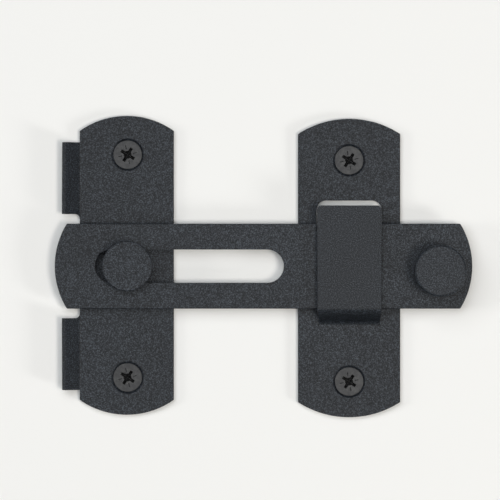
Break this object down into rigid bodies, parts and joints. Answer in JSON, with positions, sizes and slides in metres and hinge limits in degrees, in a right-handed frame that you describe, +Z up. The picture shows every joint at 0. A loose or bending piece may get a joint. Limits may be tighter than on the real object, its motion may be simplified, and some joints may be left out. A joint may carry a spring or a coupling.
{
  "type": "toggle bolt latch",
  "caption": "Surface-mounted latch: a slotted bar slides and swings on a headed stud and drops behind a hook lanced from the keeper plate; a round knob lifts it.",
  "frame": {"origin": "on the stud's axis, midway between the stud plate's screws, in the plane of the doors' faces that both plates' backs lie on", "axes": "+X along the bar from the stud to the knob, +Z up the door, -Y out of the door towards the person using it"},
  "size_m": [0.1081, 0.031, 0.0781],
  "materials": {
    "powder_coat": "fine sandy black powder coat on steel",
    "black_screw": "smooth black-coated steel",
    "nylon": "black moulded nylon"
  },
  "bodies": {
    "plates": {"stud_plate": "powder_coat", "keeper_plate": "powder_coat", "stud_screw_top": "black_screw", "stud_screw_bottom": "black_screw", "keeper_screw_top": "black_screw", "keeper_screw_bottom": "black_screw"},
    "pivot": {"pivot_stud": "powder_coat", "spacer_washer": "nylon", "cap_washer": "nylon"},
    "bar": {"sliding_bar": "powder_coat", "handle_knob": "powder_coat"}
  },
  "joints": [
    {"name": "bar_swing", "type": "hinge", "parent": "plates", "child": "pivot", "pos_m": [0, 0, 0], "axis": [0, -1, 0], "range_deg": [0, 94]},
    {"name": "bar_slide", "type": "slide", "parent": "pivot", "child": "bar", "axis": [1, 0, 0], "range_m": [-0.0081, 0.0042]}
  ]
}
